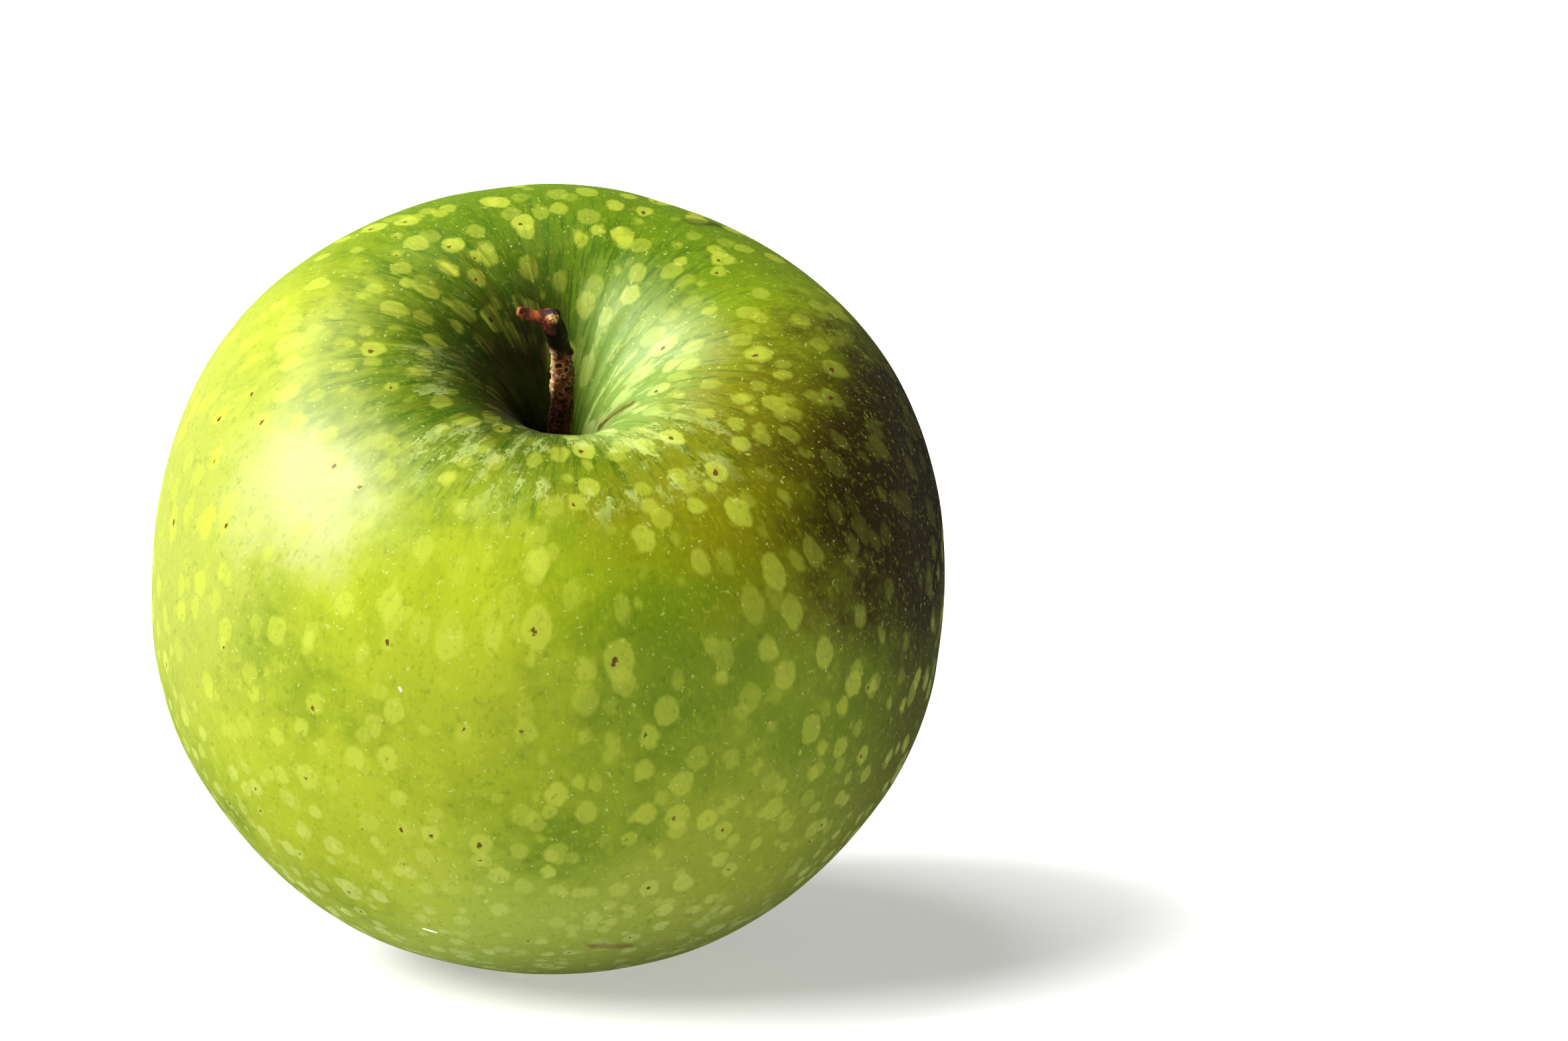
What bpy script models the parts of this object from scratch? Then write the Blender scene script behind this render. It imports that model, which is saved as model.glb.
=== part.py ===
"""A green apple with its stalk and dried calyx, leaning on a small flat spot of its cheek.

Metres, +Z up. The world origin is the middle of the resting spot, and the front of the apple,
where its stalk leans to, faces -Y. The fruit, the stalk and the calyx are modelled upright on
the stem axis and are leaned together by the empty that they are parented to.
"""

import math

import bmesh
import bpy
from mathutils import Matrix, Vector

# Fruit: a turned body. Fullness is the exponent of the superellipse that a stretch follows,
# where 2 is an ellipse and more is squarer.
CHEEK_RADIUS = 0.0400
FRUIT_HEIGHT = 0.0670
WIDEST_BELOW_MIDDLE = 0.0013
CREST_RADIUS = 0.0175
SHOULDER_FULLNESS = 2.26
BASE_RING_RADIUS = 0.0122
FLANK_FULLNESS = 1.72
CAVITY_DEPTH = 0.0170
CAVITY_FLOOR_LEDGE = 0.0015
CAVITY_FULLNESS = 2.0
BASIN_DEPTH = 0.0080
BASIN_FULLNESS = 2.0

# Lobes: five low swellings, strongest at the base.
LOBES = 5
BASE_LOBE = 0.0009
SHOULDER_LOBE = 0.0003
LOBE_TURN = math.radians(18)
LOBE_START = 0.0012
LOBE_EASE = 0.0060

# Stance: how the apple lies.
LEAN = math.radians(35.5)
ROLL = math.radians(4)
SPOT_DEPTH = 0.0009

# Stalk: a shaft that bends over at its top, with a short stub of spur on its side.
STALK_RADIUS = 0.00110
STALK_FOOT_RADIUS = 0.00150
STALK_SEAT_DEPTH = 0.0020
STALK_RISE = 0.0213
STALK_BULGE = 0.0001
STALK_SWAY = 0.0019
STUB_RADIUS = 0.00060
STUB_ROOT_RADIUS = 0.00080
STUB_DROP = 0.0006
STUB_REACH = 0.0031
STUB_LIFT = 0.0005

# Calyx: five dried sepals in a ring around a tuft of dried stamens.
SEPALS = 5
CALYX_RADIUS = 0.0046
SEPAL_LENGTH = 0.0056
SEPAL_WIDTH = 0.0034
SEPAL_THICKNESS = 0.0005
SEPAL_INWARD = 0.0012
SEPAL_CURL = 0.0022
SEPAL_TIP_WIDTH = 0.0004
STAMENS = 9
STAMEN_LENGTH = 0.0034
STAMEN_BASE = 0.0010
STAMEN_SPLAY = 1.15
STAMEN_TAPER = 0.45

CLEARANCE = 0.0003

# Fineness of the round surfaces.
MERIDIANS = 60
CAVITY_STEPS = 9
SHOULDER_STEPS = 10
FLANK_STEPS = 10
BASIN_STEPS = 7

# Heights on the stem axis, counted from the middle of the fruit.
CREST_Z = FRUIT_HEIGHT / 2
BASE_Z = -FRUIT_HEIGHT / 2
WIDEST_Z = -WIDEST_BELOW_MIDDLE
CAVITY_FLOOR_Z = CREST_Z - CAVITY_DEPTH
CALYX_FLOOR_Z = BASE_Z + BASIN_DEPTH

SOCKET_RADIUS = STALK_FOOT_RADIUS + CLEARANCE
CALYX_SEAT_RADIUS = CALYX_RADIUS + CLEARANCE
SEPAL_FACE = math.sqrt(CALYX_RADIUS**2 - (SEPAL_WIDTH / 2) ** 2)
TUFT_RADIUS = SEPAL_FACE - SEPAL_THICKNESS - SEPAL_INWARD - CLEARANCE


def clear_scene():
    for obj in list(bpy.data.objects):
        bpy.data.objects.remove(obj, do_unlink=True)


def new_collection(name):
    collection = bpy.data.collections.new(name)
    bpy.context.scene.collection.children.link(collection)
    return collection


def new_material(name, colour, roughness, metallic=0.0):
    material = bpy.data.materials.new(name)
    material.use_nodes = True
    shader = material.node_tree.nodes["Principled BSDF"]
    shader.inputs["Base Color"].default_value = (*colour, 1.0)
    shader.inputs["Roughness"].default_value = roughness
    shader.inputs["Metallic"].default_value = metallic
    return material


def add_object(name, data, collection, parent, material):
    obj = bpy.data.objects.new(name, data)
    collection.objects.link(obj)
    obj.parent = parent
    if material:
        data.materials.append(material)
    return obj


def quarter(start, end, fullness, steps, upright_start):
    """Points (radius, height) of a quarter superellipse from start to end.

    It leaves start upright and reaches end level, or the other way round."""
    points = []
    for step in range(steps + 1):
        angle = math.pi / 2 * step / steps
        slow = 1 - math.cos(angle) ** (2 / fullness)
        fast = math.sin(angle) ** (2 / fullness)
        across, along = (slow, fast) if upright_start else (fast, slow)
        points.append(
            (
                start[0] + (end[0] - start[0]) * across,
                start[1] + (end[1] - start[1]) * along,
            )
        )
    return points


def fruit_profile():
    """The half section, from the stalk's socket over the shoulder to the calyx seat."""
    seat_z = CAVITY_FLOOR_Z - STALK_SEAT_DEPTH
    floor_rim = (SOCKET_RADIUS + CAVITY_FLOOR_LEDGE, CAVITY_FLOOR_Z)
    crest = (CREST_RADIUS, CREST_Z)
    widest = (CHEEK_RADIUS, WIDEST_Z)
    base = (BASE_RING_RADIUS, BASE_Z)
    calyx_rim = (CALYX_SEAT_RADIUS, CALYX_FLOOR_Z)
    points = [(0, seat_z), (SOCKET_RADIUS, seat_z), (SOCKET_RADIUS, CAVITY_FLOOR_Z)]
    points += quarter(floor_rim, crest, CAVITY_FULLNESS, CAVITY_STEPS, True)
    points += quarter(crest, widest, SHOULDER_FULLNESS, SHOULDER_STEPS, False)[1:]
    points += quarter(widest, base, FLANK_FULLNESS, FLANK_STEPS, True)[1:]
    points += quarter(base, calyx_rim, BASIN_FULLNESS, BASIN_STEPS, False)[1:]
    points.append((0, CALYX_FLOOR_Z))
    return points


def turned_mesh(name, profile):
    """The profile turned once round Z, as a closed mesh."""
    outline = bpy.data.meshes.new(name)
    outline.from_pydata(
        [(radius, 0, height) for radius, height in profile],
        [(i, i + 1) for i in range(len(profile) - 1)],
        [],
    )
    turned = bpy.data.objects.new(name, outline)
    bpy.context.scene.collection.objects.link(turned)
    screw = turned.modifiers.new("turn", "SCREW")
    screw.steps = screw.render_steps = MERIDIANS
    screw.use_merge_vertices = True
    screw.merge_threshold = 0.00001
    graph = bpy.context.evaluated_depsgraph_get()
    mesh = bpy.data.meshes.new_from_object(turned.evaluated_get(graph))
    bpy.data.objects.remove(turned, do_unlink=True)
    bpy.data.meshes.remove(outline)
    mesh.name = name
    return mesh


def swell_lobes(bm):
    """Pushes the outside in and out round the stem axis. The socket and the seat stay round."""
    still_radius = max(CALYX_SEAT_RADIUS, SOCKET_RADIUS) + LOBE_START
    for vert in bm.verts:
        x, y, z = vert.co
        radius = math.hypot(x, y)
        if radius <= still_radius:
            continue
        wave = math.cos(LOBES * (math.atan2(y, x) - LOBE_TURN))
        height = (z - WIDEST_Z) / (CREST_Z - WIDEST_Z)
        strength = SHOULDER_LOBE * height if height > 0 else BASE_LOBE * height**2
        push = wave * strength * min(1.0, (radius - still_radius) / LOBE_EASE)
        swell = 1 + push / radius
        vert.co = (x * swell, y * swell, z + math.copysign(push / 2, height))


def flatten_spot(bm, downward):
    """Cuts the resting spot square to the downward direction and gives back its middle."""
    lowest = max(vert.co.dot(downward) for vert in bm.verts)
    cut = bmesh.ops.bisect_plane(
        bm,
        geom=bm.verts[:] + bm.edges[:] + bm.faces[:],
        plane_co=downward * (lowest - SPOT_DEPTH),
        plane_no=downward,
        clear_outer=True,
    )
    rim = [item for item in cut["geom_cut"] if isinstance(item, bmesh.types.BMEdge)]
    face = bmesh.ops.contextual_create(bm, geom=rim)["faces"][0]
    if face.normal.dot(downward) < 0:
        face.normal_flip()
    return face.calc_center_median_weighted()


def build_fruit(collection, stance, material):
    mesh = turned_mesh("fruit", fruit_profile())
    bm = bmesh.new()
    bm.from_mesh(mesh)
    swell_lobes(bm)
    middle = flatten_spot(bm, stance.matrix_basis.to_3x3().transposed() @ Vector((0, 0, -1)))
    bm.to_mesh(mesh)
    bm.free()
    mesh.shade_smooth()
    mesh.set_sharp_from_angle(angle=math.radians(35))
    add_object("fruit", mesh, collection, stance, material)
    return middle


def twig(name, route, collection, stance):
    """A round twig along points (x, z, radius), as a closed mesh object."""
    curve = bpy.data.curves.new(name, "CURVE")
    curve.dimensions = "3D"
    curve.resolution_u = 5
    curve.bevel_depth = STALK_RADIUS
    curve.bevel_resolution = 4
    curve.use_fill_caps = True
    spline = curve.splines.new("BEZIER")
    spline.bezier_points.add(len(route) - 1)
    for point, (x, z, radius) in zip(spline.bezier_points, route):
        point.co = (x, 0, z)
        point.handle_left_type = point.handle_right_type = "AUTO"
        point.radius = radius / STALK_RADIUS
    drawn = add_object(name, curve, collection, None, None)
    graph = bpy.context.evaluated_depsgraph_get()
    mesh = bpy.data.meshes.new_from_object(drawn.evaluated_get(graph))
    bpy.data.objects.remove(drawn, do_unlink=True)
    bpy.data.curves.remove(curve)
    bm = bmesh.new()
    bm.from_mesh(mesh)
    bmesh.ops.remove_doubles(bm, verts=bm.verts, dist=0.000001)
    bmesh.ops.recalc_face_normals(bm, faces=bm.faces)
    bm.to_mesh(mesh)
    bm.free()
    mesh.shade_smooth()
    mesh.set_sharp_from_angle(angle=math.radians(50))
    return add_object(name, mesh, collection, stance, None)


def build_stalk(collection, helpers, stance, material):
    """The shaft stands in its socket and bends to -X at its top, where the stub points to -X."""
    top_z = CAVITY_FLOOR_Z + STALK_RISE
    shaft = [
        (0, CAVITY_FLOOR_Z - STALK_SEAT_DEPTH + CLEARANCE, STALK_FOOT_RADIUS),
        (0, CAVITY_FLOOR_Z, STALK_FOOT_RADIUS),
        (STALK_BULGE, CAVITY_FLOOR_Z + 0.25 * STALK_RISE, STALK_RADIUS),
        (0, CAVITY_FLOOR_Z + 0.62 * STALK_RISE, STALK_RADIUS),
        (-0.5 * STALK_SWAY, CAVITY_FLOOR_Z + 0.86 * STALK_RISE, STALK_RADIUS),
        (-STALK_SWAY, top_z, STALK_RADIUS),
    ]
    stub_z = top_z - STUB_DROP
    spur = [
        (-STALK_SWAY + STALK_RADIUS / 2, stub_z - STUB_LIFT / 2, STUB_ROOT_RADIUS),
        (-STALK_SWAY - 0.5 * STUB_REACH, stub_z, STUB_RADIUS),
        (-STALK_SWAY - STUB_REACH, stub_z + STUB_LIFT, STUB_RADIUS),
    ]
    stalk = twig("stalk", shaft, collection, stance)
    stalk.data.materials.append(material)
    stub = twig("stub", spur, helpers, stance)
    stub.hide_render = True
    stub.display_type = "WIRE"
    join = stalk.modifiers.new("stub", "BOOLEAN")
    join.operation = "UNION"
    join.object = stub


def sepal_mesh(name):
    """One leaf on +X: upright from its foot at z = 0, bowed inward, with its tip curled out."""
    bm = bmesh.new()
    bmesh.ops.create_grid(bm, x_segments=2, y_segments=4, size=0.5)
    for vert in bm.verts:
        side = 2 * vert.co.x
        along = vert.co.y + 0.5
        half_width = (SEPAL_WIDTH + (SEPAL_TIP_WIDTH - SEPAL_WIDTH) * along**1.5) / 2
        bow = SEPAL_CURL * along**3 - SEPAL_INWARD * math.sin(math.pi * along)
        vert.co = (SEPAL_FACE + bow, side * half_width, CLEARANCE + SEPAL_LENGTH * along)
    mesh = bpy.data.meshes.new(name)
    bm.to_mesh(mesh)
    bm.free()
    mesh.shade_smooth()
    return mesh


def build_sepals(collection, calyx, material):
    for index in range(SEPALS):
        name = f"sepal_{index + 1}"
        sepal = add_object(name, sepal_mesh(name), collection, calyx, material)
        sepal.rotation_euler.z = 2 * math.pi * index / SEPALS
        wall = sepal.modifiers.new("wall", "SOLIDIFY")
        wall.thickness = SEPAL_THICKNESS
        wall.offset = -1
        smooth = sepal.modifiers.new("smooth", "SUBSURF")
        smooth.levels = smooth.render_levels = 1


def build_stamens(collection, calyx, material):
    """A low cushion from which the stamens stand, one from each wedge of its top."""
    bm = bmesh.new()
    bmesh.ops.create_cone(
        bm,
        cap_ends=True,
        segments=STAMENS,
        radius1=TUFT_RADIUS,
        radius2=TUFT_RADIUS,
        depth=STAMEN_BASE,
        matrix=Matrix.Translation((0, 0, CLEARANCE + STAMEN_BASE / 2)),
    )
    top = [face for face in bm.faces if face.normal.z > 0.9]
    wedges = bmesh.ops.poke(bm, faces=top)["faces"]
    bmesh.ops.inset_individual(bm, faces=wedges, thickness=TUFT_RADIUS / 12)
    stems = bmesh.ops.extrude_discrete_faces(bm, faces=wedges)["faces"]
    for face in stems:
        middle = face.calc_center_median()
        tip = Vector((middle.x * STAMEN_SPLAY, middle.y * STAMEN_SPLAY, middle.z + STAMEN_LENGTH))
        for vert in face.verts:
            vert.co = tip + (vert.co - middle) * STAMEN_TAPER
    mesh = bpy.data.meshes.new("stamens")
    bm.to_mesh(mesh)
    bm.free()
    add_object("stamens", mesh, collection, calyx, material)


def build_apple():
    apple = new_collection("apple")
    helpers = new_collection("helpers")
    stance = add_object("stance", None, apple, None, None)
    stance.rotation_euler = (LEAN, ROLL, 0)
    middle = build_fruit(apple, stance, new_material("green_skin", (0.22, 0.36, 0.05), 0.30))
    stance.location = -(stance.matrix_basis.to_3x3() @ middle)
    calyx = add_object("calyx", None, apple, stance, None)
    calyx.rotation_euler.x = math.pi
    calyx.location.z = CALYX_FLOOR_Z
    build_stalk(apple, helpers, stance, new_material("stalk_bark", (0.085, 0.035, 0.022), 0.65))
    build_sepals(apple, calyx, new_material("dry_sepal", (0.19, 0.12, 0.06), 0.80))
    build_stamens(apple, calyx, new_material("dry_stamen", (0.10, 0.06, 0.03), 0.85))


clear_scene()
build_apple()
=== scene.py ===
"""The looks of a green apple with its stalk and dried calyx, leaning on its cheek."""

import math

import bmesh
import bpy
from mathutils import Matrix, Vector, noise


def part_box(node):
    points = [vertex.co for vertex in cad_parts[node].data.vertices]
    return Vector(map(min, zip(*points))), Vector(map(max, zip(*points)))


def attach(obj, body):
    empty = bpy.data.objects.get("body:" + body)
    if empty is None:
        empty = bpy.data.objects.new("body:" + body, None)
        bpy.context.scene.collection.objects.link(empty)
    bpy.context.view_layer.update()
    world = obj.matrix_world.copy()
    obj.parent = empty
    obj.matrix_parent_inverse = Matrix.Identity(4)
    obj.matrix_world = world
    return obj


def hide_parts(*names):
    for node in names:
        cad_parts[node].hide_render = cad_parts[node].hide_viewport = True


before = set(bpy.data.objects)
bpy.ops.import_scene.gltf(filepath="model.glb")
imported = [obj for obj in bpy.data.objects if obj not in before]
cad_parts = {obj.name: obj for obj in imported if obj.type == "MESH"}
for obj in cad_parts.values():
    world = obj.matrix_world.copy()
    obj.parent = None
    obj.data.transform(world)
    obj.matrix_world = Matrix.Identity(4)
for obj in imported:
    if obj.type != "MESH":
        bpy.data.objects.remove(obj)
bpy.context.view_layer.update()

# Skin. The fruit's own skin: a thin waxed rind with pale breathing spots and streaks that run
# from the stalk to the calyx. It is turned upright on the stem axis, swelled into five low
# lobes, and laid over as the apple lies.
CHEEK_RADIUS = 0.0400
FRUIT_HEIGHT = 0.0670
WIDEST_HEIGHT = -0.0013
CREST_RADIUS = 0.0175
SHOULDER_FULLNESS = 2.26
BASE_RING_RADIUS = 0.0122
FLANK_FULLNESS = 1.72
CAVITY_DEPTH = 0.0170
CAVITY_FLOOR_RADIUS = 0.0022
CAVITY_FULLNESS = 2.0
BASIN_DEPTH = 0.0080
BASIN_FLOOR_RADIUS = 0.0049
BASIN_FULLNESS = 2.0
CREST_HEIGHT = FRUIT_HEIGHT / 2
BASE_HEIGHT = -FRUIT_HEIGHT / 2
CAVITY_FLOOR_HEIGHT = CREST_HEIGHT - CAVITY_DEPTH
BASIN_FLOOR_HEIGHT = BASE_HEIGHT + BASIN_DEPTH
LOBES = 5
LOBE_TURN = math.radians(18)
BASE_LOBE = 0.0009
SHOULDER_LOBE = 0.0003
LOBE_START = 0.0061
LOBE_EASE = 0.0060
LEAN = math.radians(35.5)
ROLL = math.radians(4)
SKIN_MERIDIANS = 352
SKIN_WAVE = 0.00016
BROAD_WAVES = 55
NARROW_WAVES = 160
CAVITY_GROOVE = 0.00010
GROOVE_MIDDLE = 0.014
GROOVE_REACH = 0.010


def quarter(start, end, fullness, steps, upright_start):
    """Points (radius, height) of a quarter superellipse, which leaves start upright or level."""
    points = []
    for step in range(steps + 1):
        angle = math.pi / 2 * step / steps
        slow = 1 - math.cos(angle) ** (2 / fullness)
        fast = math.sin(angle) ** (2 / fullness)
        across, along = (slow, fast) if upright_start else (fast, slow)
        radius = start[0] + (end[0] - start[0]) * across
        height = start[1] + (end[1] - start[1]) * along
        points.append((radius, height))
    return points


crest = (CREST_RADIUS, CREST_HEIGHT)
widest = (CHEEK_RADIUS, WIDEST_HEIGHT)
base = (BASE_RING_RADIUS, BASE_HEIGHT)
cavity_rim = (CAVITY_FLOOR_RADIUS, CAVITY_FLOOR_HEIGHT)
basin_rim = (BASIN_FLOOR_RADIUS, BASIN_FLOOR_HEIGHT)
profile = [(0, CAVITY_FLOOR_HEIGHT)]
profile += quarter(cavity_rim, crest, CAVITY_FULLNESS, 52, True)
profile += quarter(crest, widest, SHOULDER_FULLNESS, 62, False)[1:]
profile += quarter(widest, base, FLANK_FULLNESS, 66, True)[1:]
profile += quarter(base, basin_rim, BASIN_FULLNESS, 24, False)[1:]
profile.append((0, BASIN_FLOOR_HEIGHT))

# Patterns on the skin follow three measures of each point on the outline: how far it is from
# the stalk along the skin, and its height and radius in the room that the spots are scattered
# in, which is stretched so that spots are long near the stalk and small and round at the base.
STREAK_STRETCH = 30
LEAST_SPOT_RISE = 0.01
SPOT_SPACING_ROUND = ((0.0, 0.0015), (0.2, 0.0033), (0.4, 0.0040), (0.56, 0.0028), (1.0, 0.0019))
SPOT_SPACING_ALONG = ((0.0, 0.0064), (0.2, 0.0072), (0.4, 0.0050), (0.56, 0.0031), (1.0, 0.0021))


def between(share, stops):
    """The value at share along stops, pairs of place and value in rising order."""
    for (start, first), (end, second) in zip(stops, stops[1:]):
        if share <= end:
            return first + (second - first) * (share - start) / (end - start)
    return stops[-1][1]


skin_length = sum(math.dist(a, b) for a, b in zip(profile, profile[1:]))
distance = spot_height = spot_radius = 0.0
measures = [(distance, spot_height, spot_radius)]
for last, point in zip(profile, profile[1:]):
    step = math.dist(last, point)
    distance += step
    share = distance / skin_length
    last_spot_radius = spot_radius
    spot_radius = point[0] / between(share, SPOT_SPACING_ROUND)
    along = step / between(share, SPOT_SPACING_ALONG)
    rise_squared = along**2 - (spot_radius - last_spot_radius) ** 2
    spot_height += math.sqrt(max(rise_squared, LEAST_SPOT_RISE**2))
    measures.append((distance, spot_height, spot_radius))

rind = bmesh.new()
distance_layer = rind.verts.layers.float.new("from_stalk")
spot_layer = rind.verts.layers.float.new("spot_height")
spot_radius_layer = rind.verts.layers.float.new("spot_radius")
outline = []
for (radius, height), measured in zip(profile, measures):
    vert = rind.verts.new((radius, 0, height))
    vert[distance_layer], vert[spot_layer], vert[spot_radius_layer] = measured
    outline.append(vert)
outline_edges = [rind.edges.new(pair) for pair in zip(outline, outline[1:])]
bmesh.ops.spin(
    rind,
    geom=outline + outline_edges,
    cent=(0, 0, 0),
    axis=(0, 0, 1),
    angle=math.tau,
    steps=SKIN_MERIDIANS,
    use_merge=True,
)
bmesh.ops.remove_doubles(rind, verts=rind.verts, dist=0.000001)
bmesh.ops.recalc_face_normals(rind, faces=rind.faces)
grown_layer = rind.verts.layers.float_vector.new("as_grown")
spots_layer = rind.verts.layers.float_vector.new("spot_room")
streaks_layer = rind.verts.layers.float_vector.new("streak_room")
rind.normal_update()
for vert in rind.verts:
    x, y, z = vert.co
    radius = math.hypot(x, y)
    turn = Vector((x, y, 0)).normalized()
    vert[spots_layer] = turn * vert[spot_radius_layer] + Vector((0, 0, vert[spot_layer]))
    vert[streaks_layer] = turn + Vector((0, 0, vert[distance_layer] * STREAK_STRETCH))
    if radius > LOBE_START:
        wave = math.cos(LOBES * (math.atan2(y, x) - LOBE_TURN))
        height = (z - WIDEST_HEIGHT) / (CREST_HEIGHT - WIDEST_HEIGHT)
        strength = SHOULDER_LOBE * height if height > 0 else BASE_LOBE * height**2
        push = wave * strength * min(1.0, (radius - LOBE_START) / LOBE_EASE)
        swell = 1 + push / radius
        vert.co = (x * swell, y * swell, z + math.copysign(push / 2, height))
    broad = SKIN_WAVE * noise.noise(vert.co * BROAD_WAVES)
    narrow = SKIN_WAVE * 0.4 * noise.noise(vert.co * NARROW_WAVES)
    in_cavity = max(0.0, 1 - abs(vert[distance_layer] - GROOVE_MIDDLE) / GROOVE_REACH)
    groove = CAVITY_GROOVE * in_cavity * noise.noise(Vector((turn.x * 7, turn.y * 7, 3.0)))
    vert.co += vert.normal * (broad + narrow + groove)
    vert[grown_layer] = vert.co
lean_over = Matrix.Rotation(ROLL, 4, "Y") @ Matrix.Rotation(LEAN, 4, "X")
bmesh.ops.transform(rind, matrix=lean_over, verts=rind.verts)
fruit_low, fruit_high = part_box("fruit")
rind_low = Vector([min(vert.co[axis] for vert in rind.verts) for axis in range(3)])
rind_high = Vector([max(vert.co[axis] for vert in rind.verts) for axis in range(3)])
middle = (fruit_low + fruit_high - rind_low - rind_high) / 2
middle.z = fruit_high.z - rind_high.z
lay_down = Matrix.Translation(middle) @ lean_over
bmesh.ops.translate(rind, vec=middle, verts=rind.verts)
for vert in rind.verts:
    vert.co.z = max(vert.co.z, 0.0)
skin_mesh = bpy.data.meshes.new("skin")
rind.to_mesh(skin_mesh)
rind.free()
skin_mesh.shade_smooth()
skin = bpy.data.objects.new("skin", skin_mesh)
bpy.context.scene.collection.objects.link(skin)


class Wire:
    """One number, colour or direction in a finish. Sums written on a number add Math nodes."""

    def __init__(self, finish, socket):
        self.finish = finish
        self.socket = socket

    def math(self, operation, first, second):
        return self.finish.node("Math", {"operation": operation}, {0: first, 1: second})

    def larger(self, other):
        return self.math("MAXIMUM", self, other)

    def __add__(self, other):
        return self.math("ADD", self, other)

    def __radd__(self, other):
        return self.math("ADD", other, self)

    def __sub__(self, other):
        return self.math("SUBTRACT", self, other)

    def __rsub__(self, other):
        return self.math("SUBTRACT", other, self)

    def __mul__(self, other):
        return self.math("MULTIPLY", self, other)

    def __rmul__(self, other):
        return self.math("MULTIPLY", other, self)

    def __truediv__(self, other):
        return self.math("DIVIDE", self, other)

    def __rtruediv__(self, other):
        return self.math("DIVIDE", other, self)


class Finish:
    """A material made of nodes: a Principled shader and what feeds it."""

    def __init__(self, name):
        self.material = bpy.data.materials.new(name)
        self.material.use_nodes = True
        self.tree = self.material.node_tree
        self.shader = self.tree.nodes["Principled BSDF"]

    def node(self, kind, settings, sockets, output=0):
        """Adds a node, with its settings first and then its sockets, and gives one output."""
        made = self.tree.nodes.new("ShaderNode" + kind)
        for name, value in settings.items():
            setattr(made, name, value)
        for name, value in sockets.items():
            self.feed(made.inputs[name], value)
        return Wire(self, made.outputs[output])

    def feed(self, socket, value):
        """Links a wire to the socket, or sets the socket's value."""
        if isinstance(value, Wire):
            self.tree.links.new(value.socket, socket)
        elif socket.type == "RGBA":
            socket.default_value = (*value, 1.0)
        else:
            socket.default_value = value

    def give(self, **sockets):
        """Sets or links the shader's own sockets, named with _ for a space."""
        for name, value in sockets.items():
            self.feed(self.shader.inputs[name.replace("_", " ")], value)

    def attribute(self, name, output="Vector"):
        return self.node("Attribute", {"attribute_name": name}, {}, output)

    def blend(self, share, first, second):
        """The first colour where share is 0 and the second where it is 1."""
        settings = {"data_type": "RGBA"}
        return self.node("Mix", settings, {0: share, 6: first, 7: second}, 2)

    def fade(self, value, start, end):
        """0 up to start and 1 from end, with a soft change between them. End may be the lower."""
        settings = {"interpolation_type": "SMOOTHSTEP"}
        sockets = {"Value": value, "From Min": start, "From Max": end}
        return self.node("MapRange", settings, sockets)

    def cloud(self, place, scale, detail=2.0, roughness=0.5, output=0):
        """Soft noise around 0.5."""
        sockets = {"Vector": place, "Scale": scale, "Detail": detail, "Roughness": roughness}
        return self.node("TexNoise", {}, sockets, output)

    def part(self, vector, axis):
        """One part of a direction, counted from 0."""
        return self.node("SeparateXYZ", {}, {0: vector}, axis)

    def stretch(self, vector, scale):
        return self.node("Mapping", {}, {"Vector": vector, "Scale": scale})

    def add_vectors(self, first, second):
        return self.node("VectorMath", {"operation": "ADD"}, {0: first, 1: second})

    def scale_vector(self, vector, scale):
        return self.node("VectorMath", {"operation": "SCALE"}, {0: vector, "Scale": scale})

    def distance(self, place, centre):
        settings = {"operation": "DISTANCE"}
        return self.node("VectorMath", settings, {0: place, 1: centre}, "Value")

    def bump(self, strength, depth, height):
        sockets = {"Strength": strength, "Distance": depth, "Height": height}
        return self.node("Bump", {}, sockets)


YELLOW_GREEN = (0.290, 0.330, 0.012)
APPLE_GREEN = (0.185, 0.240, 0.005)
LEAF_GREEN = (0.072, 0.130, 0.002)
DEEP_GREEN = (0.012, 0.048, 0.001)
BLUSH_AND_SHADE_OLIVE = (0.020, 0.010, 0.001)
BLUSH_AND_SHADE_BROWN = (0.055, 0.045, 0.001)
SUNNED_YELLOW = (0.130, 0.126, 0.001)
FLOOR_SHEEN_GREEN = (0.195, 0.225, 0.026)
BOUNCE_LIT_GREEN = (0.225, 0.290, 0.035)
PALE_AND_SHEEN_GREEN = (0.250, 0.280, 0.042)
PAINTED_HIGHLIGHT_PALE = (0.285, 0.305, 0.100)
PALE_SPOT = (0.320, 0.365, 0.030)
PALE_GRAIN = (0.300, 0.345, 0.012)
PALE_FLECK = (0.38, 0.45, 0.13)
FROSTED_SPOT = (0.35, 0.42, 0.12)
LIT_WALL_GREEN = (0.165, 0.265, 0.052)
SHADE_AND_SMUDGE_BROWN = (0.008, 0.003, 0.001)
PORE_BROWN = (0.070, 0.014, 0.004)
SCAR_BROWN = (0.100, 0.040, 0.008)
BASIN_RUSSET = (0.090, 0.070, 0.016)
CHIP_WHITE = (0.75, 0.80, 0.60)

rind_finish = Finish("waxed_rind")
grown = rind_finish.attribute("as_grown")
from_stalk = rind_finish.attribute("from_stalk", "Fac")
spot_room = rind_finish.attribute("spot_room")
streak_room = rind_finish.attribute("streak_room")
object_place = rind_finish.node("TexCoord", {}, {}, "Object")
from_middle = rind_finish.node("Mapping", {}, {"Vector": object_place, "Location": -middle})
grown_side = rind_finish.part(grown, 0)

clouds = rind_finish.cloud(grown, 42, 2.0, 0.5)
mottle = rind_finish.cloud(grown, 230, 4.0, 0.6)
streaks = rind_finish.cloud(streak_room, 9, 2.0, 0.5)
fine_streaks = rind_finish.cloud(streak_room, 24, 3.0, 0.6)
drift = clouds * 0.022 + mottle * 0.012 + fine_streaks * 0.006 - 0.020


def patch(centre, inner, outer):
    """1 within inner metres of a point, fading to 0 at outer. The centre is from the middle."""
    return rind_finish.fade(rind_finish.distance(from_middle, centre) + drift, outer, inner)
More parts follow.
